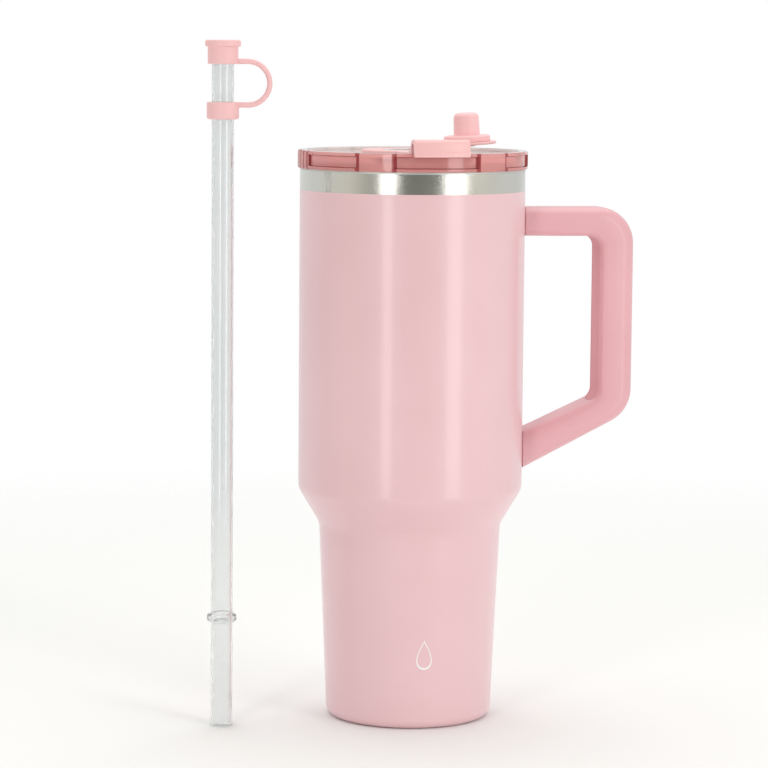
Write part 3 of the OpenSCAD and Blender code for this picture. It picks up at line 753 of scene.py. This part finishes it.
def lid_profile():
    """Profile points (radius, height, kind); kind 1 follows the ribs, kind 2 also sinks into the windows."""
    low = rim_z + frame_h
    high = lid_top - frame_h
    skirt = [(skirt_r - 0.5 * mm, rim_z, 1), (skirt_r - 0.15 * mm, rim_z + 0.15 * mm, 1),
             (skirt_r, rim_z + 0.5 * mm, 1), (skirt_r, low, 1), (skirt_r, low + steep_rim, 2),
             (skirt_r, (low + high) / 2, 2), (skirt_r, high - steep_rim, 2), (skirt_r, high, 1),
             (skirt_r, lid_top - 0.7 * mm, 1), (skirt_r - 0.2 * mm, lid_top - 0.2 * mm, 1),
             (skirt_r - 0.7 * mm, lid_top, 1)]
    inside = rounded([(skirt_r - 1.2 * mm, lid_top, 0), (skirt_in_r, lid_top, 0.6 * mm), (skirt_in_r, deck_z, 0.5 * mm),
                      (sip_r[1], deck_z, 0), (sip_r[0], deck_z, 0), (boss_out_r, deck_z, 0.3 * mm),
                      (boss_out_r, hub_top, 0.4 * mm), (boss_r, hub_top, 0.4 * mm), (boss_r, boss_z, 0.2 * mm),
                      (boss_out_r, boss_z, 0.4 * mm), (boss_out_r, deck_z - deck_t, 0.8 * mm),
                      (sip_r[0], deck_z - deck_t, 0), (sip_r[1], deck_z - deck_t, 0),
                      (plug_in_r, deck_z - deck_t, 0.4 * mm), (plug_in_r, plug_z, 0.6 * mm),
                      (plug_r, plug_z, 0.8 * mm), (plug_r, plug_z + gasket_groove[0], 0),
                      (plug_r - gasket_depth, plug_z + gasket_groove[0], 0),
                      (plug_r - gasket_depth, plug_z + gasket_groove[1], 0), (plug_r, plug_z + gasket_groove[1], 0),
                      (plug_r, deck_z - deck_t, 0.8 * mm), (skirt_in_r, deck_z - deck_t, 0.8 * mm),
                      (skirt_in_r, rim_z, 0.2 * mm), (skirt_r - 1.2 * mm, rim_z, 0)], 4)
    return skirt + [(p.x, p.y, 0) for p in inside]


def lid_net():
    """The whole lid as one turned net: 0 marks the tinted outside, 1 the clear inside, and 2 the steep step faces,
    groove faces and strips beside window ends, painted dark as shade.
    """
    net = bmesh.new()
    turns = lid_azimuths()
    profile = lid_profile()
    grid = []
    for radius, z, kind in profile:
        row = []
        for turn in turns:
            r = radius - (skirt_sink(turn, kind == 2) if kind else 0)
            row.append(net.verts.new((r * math.cos(turn), r * math.sin(turn), z)))
        grid.append(row)

    def level(r, z):
        return min(range(len(profile)), key=lambda i: abs(profile[i][0] - r) + abs(profile[i][1] - z))

    top = [level(r, deck_z) for r in sip_r]
    under = [level(r, deck_z - deck_t) for r in sip_r]
    ends = [min(range(len(turns)), key=lambda k: abs(turns[k] - (sip_middle + side * sip_half) % math.tau))
            for side in (-1, 1)]
    count = len(turns)
    for i in range(len(profile)):
        after = (i + 1) % len(profile)
        over_hole = {i, after} in ({*top}, {*under})
        for k in range(count):
            if over_hole and ends[0] <= k < ends[1]:
                continue
            n = (k + 1) % count
            face = net.faces.new((grid[i][k], grid[i][n], grid[after][n], grid[after][k]))
            face.material_index = 1
            if profile[i][2] and profile[after][2]:
                # Material 2 is painted shade: steep window steps, rib grooves and the strips beside window ends are
                # given a dark red.
                sinks = [skirt_sink(turns[t], profile[p][2] == 2) for p in (i, after) for t in (k, n)]
                steep = max(sinks) - min(sinks) > 0.5 * window_depth
                grooved = min(sinks) > 0.4 * groove_r and max(sinks) < window_depth
                face.material_index = 2 if steep or grooved or in_painted_end_shade(turns[k], turns[n]) else 0
    for a, b in zip(top, under):
        for k in range(ends[0], ends[1]):
            net.faces.new((grid[a][k], grid[a][k + 1], grid[b][k + 1], grid[b][k]))
    for k in ends:
        net.faces.new((grid[top[0]][k], grid[top[1]][k], grid[under[1]][k], grid[under[0]][k]))
    return net


def see_through(name, dark, light, rough, weight, depth=0.00003, ripple=3.0):
    made = Finish(name, transmission_weight=weight, ior=1.49)
    skin(made, orange_peel, {"Ripple Size": ripple, "Grit Size": 0.5, "Grit": 0.1}, depth, dark, light, rough)
    return made.material


lid_plastic = see_through("lid_plastic", (0.985, 0.385, 0.37), (0.99, 0.43, 0.415), (0.04, 0.09), 0.50)
lid_deck = see_through("lid_deck", (0.985, 0.945, 0.943), (0.99, 0.96, 0.958), (0.03, 0.06), 0.42)
# Dark red painted shade for the lid's steep step faces, rib grooves and the strips beside the window ends.
lid_painted_shade = see_through("lid_painted_shade", (0.31, 0.035, 0.04), (0.38, 0.06, 0.065), (0.06, 0.12), 0.12)
clear_silicone = see_through("clear_silicone", (0.90, 0.80, 0.79), (0.93, 0.85, 0.84), (0.32, 0.42), 0.5)
stop_pin_at = (stop_pin_out * math.cos(cover_a), stop_pin_out * math.sin(cover_a))
lid_mesh = lid_net()
turned([(0, deck_z), (stop_pin_r, deck_z), (stop_pin_r, deck_z + stop_pin_h - 0.2 * mm),
        (stop_pin_r - 0.2 * mm, deck_z + stop_pin_h), (0, deck_z + stop_pin_h)], 24, stop_pin_at, lid_mesh)
new_piece("rose_lid", lid_mesh, [lid_plastic, lid_deck, lid_painted_shade], "lid", "lid_shell",
          slot="lid_plastic", flat_under=28)
dress("lid_gasket", clear_silicone)
dress("straw_seal", clear_silicone)
dress("cover_retainer", lid_deck)


# ---- Closure ----
# An opaque salmon moulding that turns round the straw boss. Its wing lies on the deck and covers the sip opening,
# then rises inside the skirt, arches over it and comes down outside as the tab that a thumb pushes.
flip = next(joint for joint in frame["joints"] if joint["name"] == "plug_flip")
pin_at = Vector(flip["pos_m"])
arm_len = math.hypot(pin_at.x, pin_at.y)
hinge_z = pin_at.z
hub_r = 22.5 * mm
hub_in_r = 13.1 * mm
shelf_r = 15.05 * mm
shelf_z = 247.6 * mm
wall_out_r = 46.1 * mm
tab_w = 24.3 * mm
tab_t = 1.5 * mm
tab_in_r = 50.2 * mm
tab_r = 51.7 * mm
tab_top = 254.3 * mm
tab_low = 246.9 * mm
ear_r = 1.4 * mm
ear_w = 2.6 * mm
ear_gap = 0.2 * mm
knuckle_w = 20.4 * mm
wing_from = 20.5 * mm
lip_z = 249.0 * mm
lip_t = 0.3 * mm
pocket_top = 247.45 * mm
pocket_margin = 0.8 * mm
pocket_half = math.radians(15.5)
stop_groove_half = 1.4 * mm
stop_arc_middle = math.radians(45)
stop_arc_half = math.radians(49.3)
cover_turned = Matrix.Rotation(cover_a, 4, "Z")


def sector(r0, r1, z0, z1, middle, half, steps=40):
    """A solid slice of a ring."""
    net = bmesh.new()
    rings = []
    for k in range(steps + 1):
        turn = middle - half + 2 * half * k / steps
        rings.append([net.verts.new((r * math.cos(turn), r * math.sin(turn), z))
                      for r, z in ((r0, z0), (r1, z0), (r1, z1), (r0, z1))])
    return loft(net, rings)


def across_tab(outline, width, soften, steps=24):
    """A side outline (radius, height) carried across the width of the tab, with its ends softened."""
    net = bmesh.new()
    rings = []
    for k in range(steps + 1):
        x = -width / 2 + width * k / steps
        rings.append([net.verts.new((x, -math.sqrt(r * r - x * x), z)) for r, z in outline])
    loft(net, rings)
    ends = {v for ring in (rings[0], rings[-1]) for v in ring}
    rim = [edge for edge in net.edges if all(v in ends for v in edge.verts)
           and abs(edge.verts[0].co.x - edge.verts[1].co.x) < 1e-6]
    bmesh.ops.bevel(net, geom=rim, offset=soften, segments=3, affect="EDGES", profile=0.5)
    return net


def ear(side):
    """One of the two lugs on the hub that hold the ends of the hinge pin."""
    y = side * (knuckle_w / 2 + ear_gap + ear_w / 2)
    root_z = hub_top - 0.3 * mm
    top_round = 0.98 * ear_r
    net = bmesh.new()
    outline = rounded([(arm_len - ear_r, root_z, 0), (arm_len + ear_r, root_z, 0),
                       (arm_len + ear_r, hinge_z + ear_r, top_round),
                       (arm_len - ear_r, hinge_z + ear_r, top_round)], 8)
    rings = [[net.verts.new((x, y + end * ear_w / 2, z)) for x, z in outline] for end in (-1, 1)]
    return loft(net, rings)


hub_outline = rounded([(hub_in_r, hub_z, 0.15 * mm), (hub_r, hub_z, 0.3 * mm), (hub_r, hub_top, 0.7 * mm),
                       (shelf_r, hub_top, 0.25 * mm), (shelf_r, shelf_z, 0), (hub_in_r, shelf_z, 0.15 * mm)], 5)
slot_top = tab_top - tab_t
wing_outline = rounded([
    (wing_from, hub_z, 0),
    (wall_out_r, hub_z, 0.4 * mm),
    (wall_out_r, slot_top, 1.9 * mm),
    (tab_in_r, slot_top, 1.9 * mm),
    (tab_in_r, tab_low, 0.5 * mm),
    (tab_r, tab_low, 0.6 * mm),
    (tab_r, lip_z, 0.15 * mm),
    (tab_r - lip_t, lip_z + 0.25 * mm, 0.15 * mm),
    (tab_r - lip_t, tab_top, 2.6 * mm),
    (wall_out_r - tab_t, tab_top, 3.0 * mm),
    (wall_out_r - tab_t, hub_top, 4 * mm),
    (wing_from, hub_top, 0),
], 8)
closure_net = fused(
    [turned(hub_outline, 144), across_tab(wing_outline, tab_w, 0.45 * mm), ear(-1), ear(1)],
    [sector(sip_r[0] - pocket_margin, sip_r[1] + pocket_margin, hub_z - 1 * mm, pocket_top,
            -math.pi / 2, pocket_half),
     sector(stop_pin_out - stop_groove_half, stop_pin_out + stop_groove_half, hub_z - 1 * mm, pocket_top,
            stop_arc_middle, stop_arc_half)])
closure_net.transform(cover_turned)
closure_plastic = moulded("closure_plastic", (0.875, 0.495, 0.500), (0.910, 0.530, 0.535), (0.36, 0.44),
                          coat_weight=0.15, coat_roughness=0.25)
new_piece("closure", closure_net, [closure_plastic], "closure", "sip_cover", slot="closure_plastic", flat_under=35)
dress("sip_seal", clear_silicone)
dress("plug_hinge_pin", screw_steel)


# ---- Straw stopper ----
# The stopper's arm turns on a steel pin between the closure's ears and lies folded back, as it does for drinking.
# The soft stopper is pushed through the arm's pad from above; its flange seats in the boss when it is closed.
pad_z = hinge_z - 0.8 * mm
pad_t = 1.2 * mm
pad_r = 12.7 * mm
knuckle_r = 1.5 * mm
pin_bore_r = 0.75 * mm
neck_reach = 7 * mm
flange_z = pad_z + pad_t
flange_r = 10.1 * mm
cone_z = flange_z + 2.8 * mm
cone_top = cone_z + 9.8 * mm
cone_low_r = 5.74 * mm
cone_top_r = 5.4 * mm
stem_r = 2.45 * mm
button_r = 3.6 * mm
button_t = 0.8 * mm
stopper_at = (2 * arm_len, 0)
arm_tilted = (cover_turned @ Matrix.Translation((arm_len, 0, hinge_z))
              @ Matrix.Rotation(math.radians(-3), 4, "Y") @ Matrix.Translation((-arm_len, 0, -hinge_z)))


def along_y(outline, width, soften=0):
    """A side outline (x, height) carried across the width of the arm."""
    net = bmesh.new()
    rings = [[net.verts.new((x, y, z)) for x, z in outline] for y in (-width / 2, width / 2)]
    loft(net, rings)
    if soften:
        rim = [edge for edge in net.edges if abs(edge.verts[0].co.y - edge.verts[1].co.y) < 1e-7]
        bmesh.ops.bevel(net, geom=rim, offset=soften, segments=2, affect="EDGES", profile=0.5)
    return net


def circle(x, z, radius, steps=40):
    return [(x + radius * math.cos(math.tau * k / steps), z + radius * math.sin(math.tau * k / steps))
            for k in range(steps)]


neck = rounded([(arm_len - 0.4 * mm, pad_z + 0.05 * mm, 0), (arm_len + neck_reach, pad_z + 0.05 * mm, 0),
                (arm_len + neck_reach, flange_z - 0.05 * mm, 0), (arm_len + 1.6 * mm, flange_z - 0.05 * mm, 0),
                (arm_len - 0.4 * mm, hinge_z + 1.3 * mm, 0)], 3)
pad = turned(rounded([(0, pad_z, 0), (pad_r, pad_z, 0.5 * mm), (pad_r, flange_z, 0.45 * mm), (0, flange_z, 0)], 5),
             96, stopper_at)
arm_net = fused([pad, along_y(circle(arm_len, hinge_z, knuckle_r), knuckle_w, 0.25 * mm),
                 along_y(neck, knuckle_w - 2 * mm, 0.2 * mm)],
                [along_y(circle(arm_len, hinge_z, pin_bore_r), knuckle_w + 4 * mm)])
arm_net.transform(arm_tilted)
new_piece("stopper_arm", arm_net, [closure_plastic], "stopper", "plug_arm", slot="closure_plastic", flat_under=35)

plug_net = turned(rounded([
    (0, pad_z - button_t, 0),
    (button_r, pad_z - button_t, 0.4 * mm),
    (button_r, pad_z - 0.02 * mm, 0.2 * mm),
    (stem_r, pad_z - 0.02 * mm, 0),
    (stem_r, flange_z + 0.02 * mm, 0),
    (flange_r, flange_z + 0.02 * mm, 0.4 * mm),
    (flange_r, cone_z, 0.9 * mm),
    (cone_low_r, cone_z, 0.35 * mm),
    (cone_top_r, cone_top, 2.1 * mm),
    (0, cone_top, 0),
], 8), 96, stopper_at)
plug_net.transform(arm_tilted)
stopper_silicone = moulded("stopper_silicone", (0.945, 0.560, 0.580), (0.965, 0.590, 0.610), (0.44, 0.54), grit=0.6)
new_piece("stopper", plug_net, [stopper_silicone], "stopper", "straw_plug", slot="pink_silicone", flat_under=35)


# ---- Straw ----
# A clear extruded tube with a moulded stop bead near its foot. It stands by itself, to the left of the tumbler and a
# little in front of it.
straw_low, straw_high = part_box("straw")
straw_at = ((straw_low.x + straw_high.x) / 2, (straw_low.y + straw_high.y) / 2)
straw_r = 4.7 * mm
straw_in_r = 3.7 * mm
bead_z = 47.2 * mm
bead_r = (straw_high.x - straw_low.x) / 2
bead_half = 1.5 * mm
bead_round = 1.4 * mm
above_bead = [bead_z + (straw_high.z - bead_z) * k / 32 for k in range(1, 32)]
below_bead = [bead_z * k / 6 for k in range(1, 6)]
straw_net = turned(rounded([
    *((straw_in_r, z, 0) for z in reversed(above_bead)),
    (straw_in_r, bead_z, 0),
    *((straw_in_r, z, 0) for z in reversed(below_bead)),
    (straw_in_r, straw_low.z, 0.3 * mm),
    (straw_r, straw_low.z, 0.3 * mm),
    *((straw_r, z, 0) for z in below_bead),
    (straw_r, bead_z - bead_half - 0.5 * mm, 0.3 * mm),
    (bead_r, bead_z - bead_half, bead_round),
    (bead_r, bead_z + bead_half, bead_round),
    (straw_r, bead_z + bead_half + 0.5 * mm, 0.3 * mm),
    *((straw_r, z, 0) for z in above_bead),
    (straw_r, straw_high.z, 0.3 * mm),
    (straw_in_r, straw_high.z, 0.3 * mm),
], 5), 72, straw_at)
straw_plastic = see_through("straw_plastic", (0.97, 0.985, 0.99), (0.985, 0.995, 1.0), (0.07, 0.11), 0.87,
                            depth=0.0000005, ripple=6)
new_piece("clear_straw", straw_net, [straw_plastic], "loose_straw", "straw", slot="straw_plastic")


# ---- Straw cap ----
# One silicone moulding: a cap pushed over the straw's end, a ring that grips the straw below it, and the thin cord
# that joins them. The cord bends and stretches when the cap is pulled off; here it is built as one fixed loop that
# belongs to no body.
pink_silicone = moulded("pink_silicone", (0.885, 0.520, 0.535), (0.910, 0.550, 0.565), (0.44, 0.54), grit=0.6)
cap_low, cap_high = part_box("straw_cap")
ring_low, ring_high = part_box("straw_cap_ring")
cap_r = 6.5 * mm
cap_flange_r = (cap_high.x - cap_low.x) / 2
cap_flange_z = cap_high.z - 2.8 * mm
ring_r = straw_at[0] - ring_low.x - 0.01 * mm
cap_net = turned(rounded([
    (0, straw_high.z + 0.02 * mm, 0),
    (straw_r + 0.05 * mm, straw_high.z + 0.02 * mm, 0),
    (straw_r + 0.05 * mm, cap_low.z, 0.3 * mm),
    (cap_r, cap_low.z, 0.5 * mm),
    (cap_r, cap_flange_z, 0.5 * mm),
    (cap_flange_r, cap_flange_z, 0.5 * mm),
    (cap_flange_r, cap_high.z, 0.9 * mm),
    (0, cap_high.z, 0),
], 6), 72, straw_at)
ring_net = turned(rounded([
    (straw_r + 0.01 * mm, ring_low.z, 0.3 * mm),
    (ring_r, ring_low.z, 1.6 * mm),
    (ring_r, ring_high.z, 0.6 * mm),
    (straw_r + 0.01 * mm, ring_high.z, 0.3 * mm),
], 6), 72, straw_at)
new_piece("cap", cap_net, [pink_silicone], "cap", "straw_cap", slot="pink_silicone")
new_piece("cap_ring", ring_net, [pink_silicone], "loose_straw", "straw_cap_ring", slot="pink_silicone")


def tube(path, radius, steps=20):
    """A round cord along a path that lies in one upright plane."""
    net = bmesh.new()
    rings = []
    for i, point in enumerate(path):
        ahead = (path[min(i + 1, len(path) - 1)] - path[max(i - 1, 0)]).normalized()
        side = Vector((0, 1, 0))
        up = side.cross(ahead)
        turns = [math.tau * k / steps for k in range(steps)]
        rings.append([net.verts.new(point + (side * math.cos(turn) + up * math.sin(turn)) * radius) for turn in turns])
    return loft(net, rings)


cord_low, cord_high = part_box("straw_cap_tether")
cord_r = 1.15 * mm
low_z = cord_low.z + cord_r
high_z = cord_high.z - cord_r
loop_r = (high_z - low_z) / 2
loop_x = cord_high.x - cord_r - loop_r
cord_root = 0.6 * mm
from_ring = Vector((straw_at[0] + ring_r - cord_root, straw_at[1], low_z))
to_cap = Vector((straw_at[0] + cap_r - cord_root, straw_at[1], high_z))
loop_low = Vector((loop_x, straw_at[1], low_z))
loop_high = Vector((loop_x, straw_at[1], high_z))
loop_middle = Vector((loop_x, straw_at[1], (low_z + high_z) / 2))
cord_path = [from_ring.lerp(loop_low, k / 6) for k in range(6)]
for k in range(33):
    turn = -math.pi / 2 + math.pi * k / 32
    cord_path.append(loop_middle + Vector((loop_r * math.cos(turn), 0, loop_r * math.sin(turn))))
cord_path += [loop_high.lerp(to_cap, k / 6) for k in range(1, 7)]
cord_obj = new_piece("cap_cord", tube(cord_path, cord_r), [pink_silicone], None, "straw_cap_tether",
                     slot="pink_silicone")
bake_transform(cord_obj)
